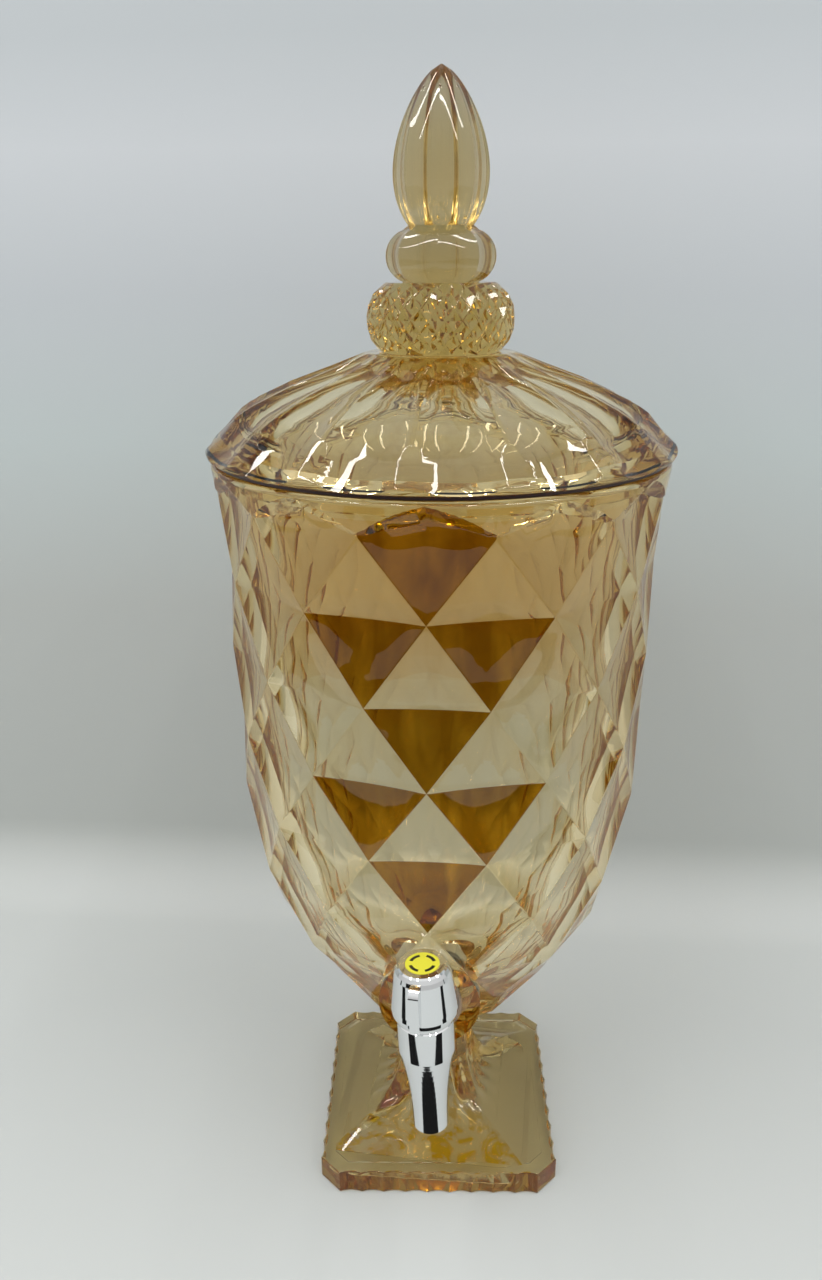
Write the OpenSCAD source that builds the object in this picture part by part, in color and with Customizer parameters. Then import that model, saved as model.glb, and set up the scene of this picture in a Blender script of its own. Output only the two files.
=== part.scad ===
// Faceted glass drinks urn on a square foot, with a domed lid, a finial and a quarter-turn tap.
// Millimetres. The origin is the middle of the foot's underside, +Z is up and the tap faces -Y.

/* [Bowl] */
// Height of the bowl's rim above the table
rim_z = 361; // [350:0.5:375]
// Outer radius of the rim
rim_r = 98.6; // [97:0.1:99.5]
// How far the plain band narrows below the rim, where the cut pattern starts
band_in = 1.7; // [1:0.1:2]
// Number of diamonds in each row around the bowl
diamonds = 12; // [10:2:16]
// Heights of the lattice rows, from the bottom ring up to the highest points of the pattern
row_z = [86.5, 113, 142, 175.6, 210.2, 244.3, 278.7, 314.2, 346.8];
// How far the lattice points in those rows lie inside the rim's radius
row_in = [59.1, 40.6, 21.1, 10.6, 6, 4.6, 4.2, 3.4, 2.1];
// How far each top-row scallop reaches above the highest row
scallop_h = 7; // [4:0.5:9]
// Thickness of the glass at the rim
rim_wall = 10.1; // [9.6:0.1:13]
// Narrowing of the cavity between the rim and the floor
cavity_draft = 2.8; // [0:0.1:5]
// Height of the cavity floor
floor_z = 98; // [96:0.5:102]
// Radius of the neck under the bowl, where the foot joins
neck_r = 20; // [17:0.5:22]
// Height of the joint between the bowl and the foot
joint_z = 80; // [76:0.5:82]

/* [Tap boss] */
// How far the boss's flat front lies inside the rim's radius
boss_in = 22.6; // [19.6:0.5:23.6]
// Half the width of the boss
boss_w = 22.5; // [20:0.5:24]
// Height of the centre of the boss's round lower end
boss_z = 130; // [128:0.5:132]
// Thickness of the glass that the tap is clamped through
boss_t = 12; // [10:0.5:13]

/* [Tap] */
// Distance of the tap's upright axis from the boss's flat front
tap_out = 22; // [21:0.5:26]
// Height of the middle of the tap's shank
shank_z = 133; // [131:0.5:134]
// Angle at which the tap leans about its shank
tap_lean = 2.5; // [0:0.5:5]
// Outer radius of the shank's thread
shank_r = 8; // [7.7:0.1:8.3]
// Radial clearance of the shank in the glass and of the washers on the shank
shank_gap = 0.25; // [0.1:0.05:0.5]
// Radius of the tap's barrel
barrel_r = 12; // [11.5:0.1:12.5]
// Height of the barrel's top above the shank's middle
barrel_top = 8.6; // [8.4:0.1:9]
// Depth of the spout's outlet below the shank's middle
outlet_z = 48; // [40:0.5:52]
// Outer radius of the spout at its outlet
outlet_r = 7.6; // [7.2:0.1:8.4]
// Radius of the water way in the spout
spout_bore_r = 5.4; // [4.6:0.1:5.6]
// Radius of the water way in the shank
shank_bore_r = 4.6; // [4:0.1:5]
// Radius of the bore that the valve plug turns in
plug_bore_r = 7.5; // [7.2:0.05:7.8]
// Radial running clearance of the valve plug in its bore
plug_gap = 0.06; // [0.03:0.01:0.1]
// Thickness of the cord of the plug's sealing rings
o_ring_d = 1.2; // [1:0.1:1.4]

/* [Knob] */
// Radius of the knob at its widest, near its lower edge
knob_r = 14; // [13.6:0.1:14.2]
// Height of the knob's top above the shank's middle
knob_top = 35; // [34:0.5:37]
// Width of the lever rib on the knob
lever_w = 4.2; // [3:0.1:6]
// Reach of the lever rib from the knob's axis
lever_reach = 17; // [16:0.5:24]
// Direction of the lever rib, clockwise from the front
lever_turn = 10; // [0:1:20]
// Radius of the round label
label_r = 7.15; // [6:0.05:8]

/* [Lid] */
// How far the lid reaches past the rim
lid_over = 1.7; // [1.4:0.1:4]
// Number of panels on the dome
panels = 16; // [12:2:20]
// Turn of the lid, clockwise from the front
lid_turn = 3.7; // [0:0.1:22]
// Thickness of the seal between the lid and the rim
seal_t = 1.8; // [1.5:0.1:2.5]
// Depth of the locating skirt below the seal
skirt_h = 9; // [6:0.5:14]
// Radial clearance between the skirt and the cavity
skirt_gap = 2.2; // [1.5:0.1:3]

/* [Finial] */
// Radius of the cut ball at its widest
ball_r = 31; // [28:0.5:33]
// Number of small diamonds around the ball
ball_diamonds = 24; // [16:2:28]
// Number of upright panels around the collar and the bud
bud_panels = 8; // [6:1:12]
// Radius of the spigot that seats the finial in the lid
spigot_r = 8; // [6:0.5:9]

/* [Foot] */
// Half the width of the square slab
foot_w = 59.4; // [55:0.2:64]
// Thickness of the slab at its raised border
slab_h = 12.6; // [10:0.2:15]
// Size of the slab's cut corners
corner_cut = 10; // [6:0.5:14]
// Number of scallops along each side of the slab
scallops = 9; // [5:1:12]
// Turn of the foot, anticlockwise from the front
foot_turn = 3.5; // [0:0.5:8]
// Depth of the flutes on the foot's faces
flute_depth = 0.9; // [0:0.1:1.5]

/* [Hidden] */

$fn = 96;
glass_c = [0.79, 0.66, 0.40, 0.55];
chrome_c = [0.80, 0.81, 0.82];
rubber_c = [0.85, 0.84, 0.80];

// Gap between two pieces that rest on one another but move apart
rest_gap = 0.2;
// Gap at the end of a turning piece
end_gap = 0.3;

// Bowl
band_r = rim_r - band_in;
row_r = [for (d = row_in) rim_r - d];
cavity_r = rim_r - rim_wall;
pitch = 360 / diamonds;
rows = len(row_z);
cavity_h = rim_z + 2 - floor_z;
rim_round = 2.4;
hem_r = rim_r + 21.4;
hem_z = rim_z + 19.8;

// Tap, measured from the middle of its shank
boss_y = rim_r - boss_in;
tap_y = boss_y + tap_out;
flange_t = 2.5;
washer_t = 2;
flange_r = 14.6;
washer_r = 13.4;
collar_y = boss_y + washer_t + flange_t;
wall_y = boss_y - boss_t;
nut_t = 7;
nut_flats = 24;
pocket_r = 17.5;
boss_depth = 36;
spot_h = 8;
spot_gap = 0.8;
shank_end = 46;
thread_pitch = 2;
thread_depth = 0.9;
neck_bar_r = barrel_top - 1.1;
seat_z = -8.5;
clip_t = 1.8;
clip_r = 9.5;
stem_w = 6.4;
stem_top = 22;
knob_foot = barrel_top + 0.6;
hollow_r = 9.4;
hollow_top = 26;
label_t = 0.6;
label_z = knob_top - 0.5;
screw_r = 1.45;
head_r = 3;
head_h = 2.2;
head_z = label_z - 3.2;

// Lid
lid_r = rim_r + lid_over;
lid_z = rim_z + rest_gap + seal_t;
skirt_r = cavity_r - skirt_gap;
crown_h = 40.5;
crown_z = lid_z + crown_h;
crown_r = 31;
crown_t = 6;
socket_depth = 13.2;

// Finial
ball_top_z = crown_z + 27.5;
collar_z = crown_z + 37.5;
collar_core_r = 12.1;
collar_round = 10.6;
bud_z = crown_z + 49.2;
bud_h = 57.8;

// Foot
border_w = 7;
border_h = 1;
shoulder_w = foot_w - border_w - 2;
plate_h = slab_h - border_h;
tenon_r = 7.8;
tenon_h = 5.8;

// ---- Shapes that several pieces share ----

// n points on a circle, counted from the front towards +X, starting at angle a
function ring(n, r, z, a = 0) =
    [for (i = [0:n - 1]) [r * sin(a + 360 * i / n), -r * cos(a + 360 * i / n), z]];

// The two triangles that join point i of an upper ring to the ring below it. The rings are
// turned by half a step against each other, and k is 1 where the upper one is the turned one.
function diamond_band(n, low, high, k) = [
    for (i = [0:n - 1])
        each [
            [high + i, low + (i + k) % n, low + (i + k + n - 1) % n],
            [high + i, high + (i + 1) % n, low + (i + k) % n]
        ]
];

// Triangles between two rings of n points that aren't turned against each other
function plain_band(n, low, high) = [
    for (i = [0:n - 1])
        let (j = (i + 1) % n)
            each [[low + i, high + i, high + j], [low + i, high + j, low + j]]
];

function floor_cap(n) = [[for (i = [0:n - 1]) i]];
function top_cap(n, first) = [[for (i = [n - 1:-1:0]) first + i]];

// Closed solid through a stack of equal rings
module stacked(points, n) {
    m = len(points) / n;
    polyhedron(
        points,
        concat(
            floor_cap(n),
            [for (j = [0:m - 2]) each plain_band(n, j * n, (j + 1) * n)],
            top_cap(n, (m - 1) * n)
        )
    );
}

// Closed solid whose surface is cut into diamonds: the odd rings are turned by half a step
module diamond_cut(n, radii, heights) {
    m = len(radii);
    points = [for (j = [0:m - 1]) each ring(n, radii[j], heights[j], (1 - j % 2) * 180 / n)];
    polyhedron(
        points,
        concat(
            floor_cap(n),
            [for (j = [0:m - 2]) each diamond_band(n, j * n, (j + 1) * n, j % 2)],
            top_cap(n, (m - 1) * n)
        )
    );
}

// Flat ring between two radii
module washer(outer, inner, t) {
    difference() {
        cylinder(r = outer, h = t);
        translate([0, 0, -1]) cylinder(r = inner, h = t + 2);
    }
}

// Puts a piece that is drawn along +Z on the shank's axis, its base at distance y from the
// bowl's axis and its height towards the bowl
module on_shank(y) {
    translate([0, -y, shank_z]) rotate([-90, 0, 0]) children();
}

// Puts a piece of the tap, drawn about the upright axis with the shank's middle at z = 0
module on_tap() {
    translate([0, -tap_y, shank_z]) rotate([0, -tap_lean, 0]) children();
}

// ---- Bowl ----

// Radius of the cavity at a fraction t of the way from the rim down to the floor
function cavity_at(t) = (cavity_r - cavity_draft * t) * pow(1 - pow(t, 5), 0.4);

// Fractions of the cavity's depth, closer together where it turns in to the floor
function cavity_steps() = [for (i = [0:28]) sin(90 * i / 28)];

module cavity() {
    rotate_extrude()
        polygon(concat(
            [[0, rim_z + 3], [cavity_r, rim_z + 3]],
            [for (t = cavity_steps()) [cavity_at(t), rim_z + 2 - cavity_h * t]]
        ));
}

// Plain turned outline that the cut pattern runs out into under the rim
module plain_outline() {
    rotate_extrude()
        polygon(concat(
            [[0, row_z[0] - 10], [rim_r, row_z[0] - 10], [rim_r, row_z[rows - 2]],
             [band_r, row_z[rows - 1]], [rim_r, rim_z - rim_round]],
            [for (a = [15:15:90])
                [rim_r - rim_round * (1 - cos(a)), rim_z - rim_round * (1 - sin(a))]],
            [[0, rim_z]]
        ));
}

// The diamond lattice. Its top row is a zigzag of points and scallops, and from there the
// surface opens past the plain outline.
module lattice() {
    n = diamonds;
    low = (rows - 2) * n;
    zig = (rows - 1) * n;
    hem = zig + 2 * n;
    top = rows - 1;
    chord_r = row_r[top] * cos(pitch / 2);
    slope = (row_r[top - 1] - chord_r) / (row_z[top] - row_z[top - 1]);
    points = concat(
        [for (j = [0:top - 1]) each ring(n, row_r[j], row_z[j], (1 - j % 2) * pitch / 2)],
        [for (i = [0:n - 1])
            each [
                [(chord_r - slope * scallop_h) * sin(i * pitch),
                 -(chord_r - slope * scallop_h) * cos(i * pitch), row_z[top] + scallop_h],
                [row_r[top] * sin((i + 0.5) * pitch),
                 -row_r[top] * cos((i + 0.5) * pitch), row_z[top]]
            ]],
        ring(2 * n, hem_r, hem_z)
    );
    zigzag = [
        for (i = [0:n - 1])
            each [
                [zig + 2 * i + 1, low + (i + 1) % n, low + i],
                [zig + (2 * i + 2 * n - 1) % (2 * n), zig + 2 * i, low + i],
                [zig + 2 * i, zig + 2 * i + 1, low + i]
            ]
    ];
    polyhedron(
        points,
        concat(
            floor_cap(n),
            [for (j = [0:top - 2]) each diamond_band(n, j * n, (j + 1) * n, j % 2)],
            zigzag,
            plain_band(2 * n, zig, hem),
            top_cap(2 * n, hem)
        )
    );
}

// Flat pad with a round lower end, for the tap
module boss() {
    translate([0, boss_depth - boss_y, boss_z]) rotate([90, 0, 0])
        linear_extrude(boss_depth) {
            circle(r = boss_w);
            translate([-boss_w, 0]) square([2 * boss_w, 20]);
        }
}

module bowl() {
    color(glass_c)
        difference() {
            union() {
                intersection() {
                    plain_outline();
                    lattice();
                }
                boss();
                translate([0, 0, joint_z]) cylinder(r1 = neck_r, r2 = 36, h = 9);
            }
            cavity();
            on_shank(wall_y) cylinder(r = pocket_r, h = 26);
            on_shank(boss_y + 1) cylinder(r = shank_r + shank_gap, h = boss_t + 2);
            on_shank(boss_y + spot_h) cylinder(r = flange_r + spot_gap, h = spot_h);
            translate([0, 0, joint_z - 1]) cylinder(r = tenon_r + rest_gap, h = tenon_h + 1.2);
        }
}

// ---- Foot ----

foot_rows = 10;
foot_points = 80;

// Half-width of the foot at a fraction t of the way up from the slab to the stem
function foot_half(t) = neck_r - 2 + (shoulder_w - neck_r + 2) * pow(1 - t, 5.5) + 2 * t * t;

// Radius of the foot at angle a: square with slightly bowed sides near the slab, round at the
// stem, with flutes between
function foot_radius(t, a) =
    let (
        square_share = 0.96 * pow(1 - t, 1.5),
        square_r = 1 / max(abs(cos(a)), abs(sin(a))),
        flute = flute_depth * sin(180 * pow(t, 0.4)) * (1 - cos(20 * a)) / 2
    )
    foot_half(t) * (1 - square_share + square_share * square_r) - flute;

// Ring of the foot's flare: t sets its shape, z its height
function flare_ring(t, z) = [
    for (i = [0:foot_points - 1])
        let (a = 360 * i / foot_points)
            [foot_radius(t, a) * sin(a), -foot_radius(t, a) * cos(a), z]
];

// The flare starts as an upright step sunk in the slab
module flare() {
    step_h = 0.4;
    stacked(
        concat(
            flare_ring(0, plate_h - 2),
            [for (j = [0:foot_rows - 1])
                let (t = pow(j / (foot_rows - 1), 1.6))
                    each flare_ring(t, plate_h + step_h + (joint_z - plate_h - step_h) * t)]
        ),
        foot_points
    );
}

// Square with cut corners, w from the middle to each side
module slab_outline(w, cut) {
    polygon([
        for (q = [0:3], s = [-1, 1])
            [cos(90 * q) * w - sin(90 * q) * s * (w - cut),
             sin(90 * q) * w + cos(90 * q) * s * (w - cut)]
    ]);
}

module slab() {
    scallop_step = 2 * (foot_w - corner_cut) / scallops;
    scallop_r = 9;
    scallop_depth = 1.1;
    difference() {
        linear_extrude(slab_h) slab_outline(foot_w, corner_cut);
        translate([0, 0, plate_h])
            linear_extrude(border_h + 1) slab_outline(foot_w - border_w, corner_cut - 3);
        for (q = [0:3], i = [0:scallops - 1])
            rotate([0, 0, 90 * q])
                translate([foot_w + scallop_r - scallop_depth,
                           (i - (scallops - 1) / 2) * scallop_step, -1])
                    cylinder(r = scallop_r, h = slab_h + 2, $fn = 48);
    }
}

module foot() {
    color(glass_c)
        rotate([0, 0, foot_turn]) {
            slab();
            flare();
            translate([0, 0, joint_z - 2]) cylinder(r = tenon_r, h = tenon_h + 2);
        }
}

// ---- Lid ----

// Ridge line of the panels, as radius and height above the lid's lower face
ridge = [[lid_r + 6, -0.2], [lid_r - 7.3, 12.5], [lid_r - 18.3, 20], [lid_r - 35.8, 28],
         [lid_r - 52.8, 34.2], [crown_r, crown_h]];

module panel_dome() {
    m = len(ridge);
    points = concat(
        ring(panels, lid_r + 6, lid_z - 20),
        [for (p = ridge) each ring(panels, p[0], lid_z + p[1])]
    );
    polyhedron(
        points,
        concat(
            floor_cap(panels),
            [for (j = [0:m - 1])
                for (i = [0:panels - 1])
                    let (k = (i + 1) % panels)
                        [j * panels + i, (j + 1) * panels + i, (j + 1) * panels + k,
                         j * panels + k]],
            top_cap(panels, m * panels)
        )
    );
}

// Turned outline of the lid: the plain rounded edge and a cone that the panels cut into
module lid_outline() {
    rotate_extrude()
        polygon([
            [0, lid_z - skirt_h], [skirt_r, lid_z - skirt_h], [skirt_r, lid_z],
            [lid_r - 1.3, lid_z], [lid_r - 0.3, lid_z + 0.5], [lid_r, lid_z + 1.4],
            [lid_r - 0.1, lid_z + 2.6], [lid_r - 0.9, lid_z + 3.9], [lid_r - 2.7, lid_z + 5.5],
            [lid_r - 6.3, lid_z + 8.8], [lid_r - 12.3, lid_z + 15.6],
            [lid_r - 50.3, lid_z + 60], [0, lid_z + 60]
        ]);
}

// Hollow under the dome
module lid_hollow() {
    skirt_t = 5;
    rotate_extrude()
        polygon([
            [0, lid_z - skirt_h - 1], [skirt_r - skirt_t, lid_z - skirt_h - 1],
            [skirt_r - skirt_t, lid_z + 4], [skirt_r - 7.3, lid_z + 9],
            [skirt_r - 12.3, lid_z + 14.5], [skirt_r - 20.3, lid_z + 19.5],
            [skirt_r - 32.3, lid_z + 24.5], [skirt_r - 46.3, lid_z + 29],
            [skirt_r - 60.3, lid_z + 32.5], [skirt_r - 72.3, crown_z - crown_t],
            [0, crown_z - crown_t]
        ]);
}

module lid() {
    color(glass_c)
        difference() {
            union() {
                difference() {
                    intersection() {
                        rotate([0, 0, -lid_turn]) panel_dome();
                        lid_outline();
                    }
                    lid_hollow();
                }
                translate([0, 0, crown_z - socket_depth - 4])
                    cylinder(r = spigot_r + 4.5, h = socket_depth);
            }
            translate([0, 0, crown_z - socket_depth])
                cylinder(r = spigot_r + 0.1, h = socket_depth + 1);
        }
}

module lid_seal() {
    color([0.20, 0.06, 0.05])
        translate([0, 0, rim_z + rest_gap]) washer(rim_r - 1, skirt_r, seal_t);
}

// ---- Finial ----

// Radii of the ball's rows of diamonds, on a flattened sphere that is cut off above and below
ball_rows = 7;
function ball_z(j) = crown_z + (ball_top_z - crown_z) * j / (ball_rows - 1);
function ball_radius(j) =
    let (middle = crown_z + 14)
        ball_r * sqrt(1 - pow((ball_z(j) - middle) / 20, 2) * 0.62);

// Half-width of the bud at a fraction t of its height
function bud_radius(t) = 19.4 * pow(sin(180 * pow(0.115 + 0.885 * t, 0.78)), 0.62);

// Ring of points at height z round a piece with soft upright panels. r is the radius at their
// edges, and flat is how much of the way the panels lie from a round to a flat-sided piece.
function panel_ring(r, z, flat) = [
    for (i = [0:bud_panels * 6 - 1])
        let (
            a = 60 * i / bud_panels,
            across = (i % 6 - 3) * 60 / bud_panels,
            side = cos(180 / bud_panels) / cos(across)
        )
            [r * (1 - flat + flat * side) * sin(a), -r * (1 - flat + flat * side) * cos(a), z]
];

// The collar above the ball and the bud are one turned-up stack of panelled rings
module collar_and_bud() {
    collar_steps = 8;
    bud_steps = 13;
    sweep = 144;
    stacked(
        concat(
            panel_ring(13, ball_top_z - 5, 0),
            panel_ring(13, ball_top_z + 0.1, 0),
            [for (j = [0:collar_steps])
                let (a = (180 - sweep) / 2 + sweep * j / collar_steps)
                    each panel_ring(collar_core_r + collar_round * sin(a),
                                    collar_z - collar_round * cos(a), 0.6)],
            [for (j = [0:bud_steps])
                let (t = j / bud_steps)
                    each panel_ring(max(bud_radius(t), 0.9), bud_z + bud_h * t, 0.8)]
        ),
        bud_panels * 6
    );
}

module finial() {
    color(glass_c) {
        diamond_cut(
            ball_diamonds,
            [for (j = [0:ball_rows - 1]) ball_radius(j)],
            [for (j = [0:ball_rows - 1]) ball_z(j)]
        );
        collar_and_bud();
        translate([0, 0, crown_z - socket_depth + rest_gap])
            cylinder(r = spigot_r, h = socket_depth + 2);
    }
}

// ---- Tap: what stands still ----

// Outer radius of the spout at a fraction t of the way down from the barrel
function spout_radius(t) = outlet_r + (barrel_r - outlet_r) * pow(1 - t, 2.2);

module spout_solid() {
    spout_top = -7.5;
    rotate_extrude()
        polygon(concat(
            [[0, barrel_top], [barrel_r - 0.5, barrel_top], [barrel_r, barrel_top - 0.5]],
            [for (i = [0:12]) let (t = i / 12)
                [spout_radius(t), spout_top - (outlet_z + spout_top) * t]],
            [[0, -outlet_z]]
        ));
}

// Shank with ring-shaped thread crests, drawn along +Z from the collar
module shank() {
    length = collar_y - shank_end;
    crests = floor((length - 6) / thread_pitch);
    rotate_extrude()
        polygon(concat(
            [[0, 0], [shank_r, 0]],
            [for (i = [0:crests - 1])
                each [[shank_r, 5 + i * thread_pitch],
                      [shank_r - thread_depth, 5 + (i + 0.5) * thread_pitch]]],
            [[shank_r, 5 + crests * thread_pitch], [shank_r - 1, length], [0, length]]
        ));
}

module tap_body() {
    color(chrome_c)
        difference() {
            union() {
                on_tap() {
                    spout_solid();
                    rotate([-90, 0, 0]) cylinder(r = neck_bar_r, h = tap_y - collar_y + 1);
                }
                on_shank(collar_y) shank();
            }
            on_tap() {
                translate([0, 0, seat_z]) cylinder(r = plug_bore_r, h = 40);
                translate([0, 0, -outlet_z - 1]) cylinder(r = spout_bore_r, h = outlet_z);
                translate([0, 0, barrel_top - clip_t]) cylinder(r = clip_r + 0.1, h = 10);
            }
            on_shank(tap_y) cylinder(r = shank_bore_r, h = tap_y);
        }
}

module tap_flange() {
    color([0.62, 0.48, 0.34, 0.7])
        on_shank(collar_y) washer(flange_r, shank_r + shank_gap, flange_t);
}

module outer_washer() {
    color(rubber_c)
        on_shank(boss_y + washer_t) washer(washer_r, shank_r + shank_gap, washer_t);
}

module inner_washer() {
    color(rubber_c)
        on_shank(wall_y) washer(washer_r, shank_r + shank_gap, washer_t);
}

module lock_nut() {
    color(rubber_c)
        on_shank(wall_y - washer_t)
            difference() {
                cylinder(r = nut_flats / sqrt(3), h = nut_t, $fn = 6);
                translate([0, 0, -1]) cylinder(r = shank_r + 0.05, h = nut_t + 2);
            }
}

module plug_clip() {
    color(rubber_c)
        on_tap() translate([0, 0, barrel_top - clip_t])
            washer(clip_r, stem_w * 0.77, clip_t - 0.1);
}

// ---- Tap: what turns ----

plug_r = plug_bore_r - plug_gap;
plug_top = barrel_top - clip_t - end_gap;
groove_z = [seat_z + 2.4, plug_top - 2];

module valve_plug() {
    bore_r = 4.4;
    port_r = 3.4;
    groove_r = plug_bore_r - 0.04 - o_ring_d - 0.02;
    groove_w = o_ring_d + 0.4;
    color([0.93, 0.93, 0.90])
        on_tap()
            difference() {
                union() {
                    translate([0, 0, seat_z + end_gap])
                        cylinder(r = plug_r, h = plug_top - seat_z - end_gap);
                    translate([-stem_w / 2, -stem_w / 2, plug_top - 1])
                        cube([stem_w, stem_w, stem_top - plug_top + 1]);
                }
                translate([0, 0, seat_z]) cylinder(r = bore_r, h = 2.6 - seat_z);
                rotate([0, -90, 0]) cylinder(r = port_r, h = plug_r + 1);
                for (z = groove_z)
                    translate([0, 0, z - groove_w / 2]) washer(plug_r + 1, groove_r, groove_w);
                translate([0, 0, 15]) cylinder(r = screw_r + 0.05, h = stem_top);
            }
}

module plug_o_rings() {
    cord_r = o_ring_d / 2;
    color([0.10, 0.10, 0.10])
        on_tap()
            for (z = groove_z)
                translate([0, 0, z]) rotate_extrude()
                    translate([plug_bore_r - 0.04 - cord_r, 0]) circle(r = cord_r, $fn = 32);
}

module knob_outline() {
    rotate_extrude()
        polygon([
            [0, knob_foot], [barrel_r + 0.1, knob_foot], [barrel_r + 1.1, knob_foot + 1.2],
            [knob_r - 0.2, knob_foot + 3], [knob_r, knob_foot + 4.8],
            [knob_r - 0.2, knob_foot + 7], [knob_r - 1.9, knob_top - 4],
            [knob_r - 2.5, knob_top - 2.2], [knob_r - 3.4, knob_top - 0.6],
            [knob_r - 4.2, knob_top], [0, knob_top]
        ]);
}

module knob() {
    lever_low = knob_foot + 4;
    lever_high = knob_top - 2;
    tip_r = 4;
    color(chrome_c)
        on_tap()
            difference() {
                union() {
                    difference() {
                        union() {
                            knob_outline();
                            rotate([0, 0, -90 - lever_turn])
                                translate([0, lever_w / 2, 0]) rotate([90, 0, 0])
                                    linear_extrude(lever_w) {
                                        translate([hollow_r + 1, lever_low])
                                            square([lever_reach - hollow_r - 1,
                                                    lever_high - tip_r - lever_low]);
                                        translate([lever_reach - tip_r, lever_high - tip_r])
                                            circle(r = tip_r);
                                        translate([hollow_r + 1, lever_high - tip_r - 1])
                                            square([lever_reach - tip_r - hollow_r - 1,
                                                    tip_r + 1]);
                                    }
                        }
                        translate([0, 0, knob_foot - 1])
                            cylinder(r = hollow_r, h = hollow_top - knob_foot + 1);
                    }
                    translate([0, 0, knob_foot + 1])
                        cylinder(r = stem_w * 0.9, h = hollow_top - knob_foot);
                }
                translate([-stem_w / 2 - 0.05, -stem_w / 2 - 0.05, 0])
                    cube([stem_w + 0.1, stem_w + 0.1, stem_top + end_gap]);
                cylinder(r = screw_r + 0.15, h = knob_top + 1);
                translate([0, 0, head_z]) cylinder(r = head_r + 0.3, h = 10);
                translate([0, 0, label_z]) cylinder(r = label_r + 0.15, h = 10);
            }
}

module knob_screw() {
    color(chrome_c)
        on_tap() {
            translate([0, 0, head_z]) cylinder(r = head_r, h = head_h);
            translate([0, 0, 15.5]) cylinder(r = screw_r, h = head_z - 15);
        }
}

module knob_label() {
    color([0.86, 0.84, 0.16])
        on_tap() translate([0, 0, label_z]) cylinder(r = label_r, h = label_t);
}

bowl();
foot();
lid();
lid_seal();
finial();
tap_body();
tap_flange();
outer_washer();
inner_washer();
lock_nut();
plug_clip();
valve_plug();
plug_o_rings();
knob();
knob_screw();
knob_label();
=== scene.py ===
"""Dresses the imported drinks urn: amber pressed glass, a chrome tap and a plain studio."""

import math

import bmesh
import bpy
from bpy.props import FloatProperty, FloatVectorProperty, IntProperty, PointerProperty
from mathutils import Matrix, Vector


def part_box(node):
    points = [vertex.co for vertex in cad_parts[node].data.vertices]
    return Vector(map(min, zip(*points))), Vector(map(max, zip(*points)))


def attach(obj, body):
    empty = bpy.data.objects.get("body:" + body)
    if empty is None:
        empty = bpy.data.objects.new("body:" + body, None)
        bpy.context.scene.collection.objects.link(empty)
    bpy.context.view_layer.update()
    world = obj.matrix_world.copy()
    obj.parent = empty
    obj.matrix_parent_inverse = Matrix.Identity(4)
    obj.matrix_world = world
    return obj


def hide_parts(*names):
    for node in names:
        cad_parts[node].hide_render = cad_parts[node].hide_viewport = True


bl_info = {
    "name": "Glass drinks urn",
    "version": (1, 0, 0),
    "blender": (4, 5, 0),
    "location": "View3D > Sidebar > Urn",
    "description": "Finishes a faceted glass drinks urn with a tap and puts it in a studio",
    "category": "Object",
}

MM = 0.001

# Light passes many faces of the urn before it reaches the eye
GLASS_BOUNCES = 32
# Attributes that hold the share of a tint on each face. The deep tint on the bowl's front facets
# is painted shade, and the golden patches and glow are painted shade too
DEEP_MARK = "deep"
PATCH_MARK = "patches"
GLOW_MARK = "glow"
# Scales of the noise for the streaks, the patches and the waves, and the part of the noise
# over which the first two come in. The streaks and the patches are part of the painted shade
STREAK_SCALE = (90.0, 90.0, 22.0)
PATCH_SCALE = 62.0
WAVE_SCALE = 38.0
STREAK_SPAN = (0.42, 0.72)
PATCH_SPAN = (0.42, 0.60)
# Lowest and highest point, inner radius and strength of the golden patches on the foot:
# painted shade that stands in for the deeper gold seen through the thick foot from the front
PATCHES = ((11.7, 20.5, 30, 1.0), (20, 42, 17, 0.8))
# The golden glow in millimetres, painted shade that stands in for the deeper gold seen under
# the rim: where it starts and ends in height, over how much it grows, and how far inside the
# rim's radius it reaches
GLOW_FROM = 272
GLOW_FADE = 50
GLOW_TOP = 356
GLOW_IN = 12
# The label's ring of strokes, as shares of its radius, and the angle that parts the strokes
STROKE_RING = 0.70
STROKE_HALF = 0.10
STROKE_FROM = math.pi * 0.09
STROKE_INK = (0.015, 0.015, 0.01, 1)

# Studio, in metres: the floor lies a hair below the foot, so that glass and floor never share
# one plane. The shades go by height above the floor; on the backdrop they are painted shade
# that stands in for how the lamps fall on it.
FLOOR_GAP = 0.0004
FLOOR_REACH = 2.5
SWEEP_WIDTH = 3.0
SWEEP_BEND = 0.05
WALL_TALL = 1.8
SWEEP_SHADES = (
    (0.0, (0.55, 0.57, 0.56)),
    (0.008, (0.53, 0.55, 0.54)),
    (0.04, (0.455, 0.475, 0.46)),
    (0.22, (0.445, 0.465, 0.455)),
    (0.33, (0.48, 0.53, 0.535)),
    (0.42, (0.49, 0.52, 0.545)),
    (0.50, (0.55, 0.575, 0.60)),
    (0.56, (0.48, 0.51, 0.53)),
)
# Shades of the sky by the height of the direction that is looked in
SKY_SHADES = ((0.0, (0.62, 0.62, 0.61)), (0.7, (1.0, 1.0, 0.99)))
# A painted reflection: a dark gap in the floor that only polished surfaces mirror, standing in
# for the dark room in front of the urn. Its middle and width along Y, and where the dark far end
# starts
PAINTED_REFLECTION_Y = -0.193
PAINTED_REFLECTION_WIDE = 0.07
PAINTED_REFLECTION_FAR = -0.60
PAINTED_REFLECTION_SHADE = (0.01, 0.01, 0.01, 1)
# Strip lamps along Y, with their places
LAMP_ENERGY = 3.0
LAMP_WIDTH = 0.05
LAMP_LENGTH = 1.1
LAMPS = (
    ("outer_left_strip", -0.62, -0.40, 1.05),
    ("inner_left_strip", -0.30, -0.45, 1.20),
    ("inner_right_strip", 0.30, -0.45, 1.20),
    ("outer_right_strip", 0.62, -0.40, 1.05),
)

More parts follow.
